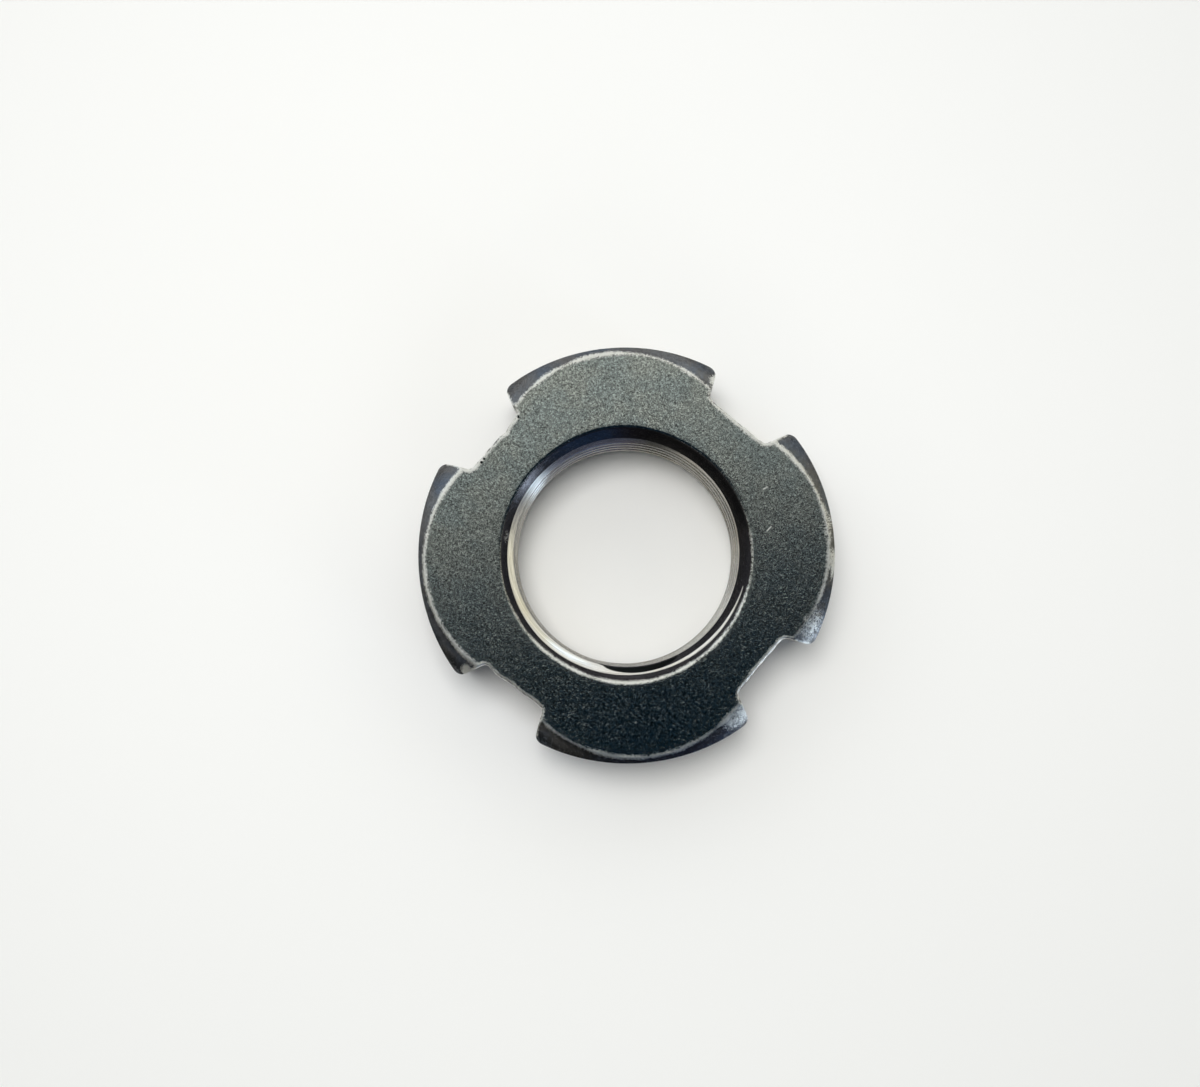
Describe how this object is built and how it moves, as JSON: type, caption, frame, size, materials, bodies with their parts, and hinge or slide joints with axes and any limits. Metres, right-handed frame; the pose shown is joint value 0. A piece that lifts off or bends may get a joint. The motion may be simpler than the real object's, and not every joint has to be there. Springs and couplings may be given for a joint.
{
  "type": "lock nut",
  "caption": "Round slotted lock nut: fine-threaded bore countersunk on both faces, flared spanner slots between rounded lobes, rolled upper shoulders, black oxide steel.",
  "frame": {"origin": "centre of the lower bearing face, on the thread's axis", "axes": "+Z along the thread's axis towards the face with the rolled shoulders, +X through the middle of one spanner slot"},
  "size_m": [0.0232, 0.0232, 0.0055],
  "materials": {
    "black_oxide_steel": "tumbled black oxide on pressed steel, satin and finely speckled, worn pale along the edges"
  },
  "bodies": {
    "root": {"lock_nut": "black_oxide_steel"}
  },
  "joints": []
}
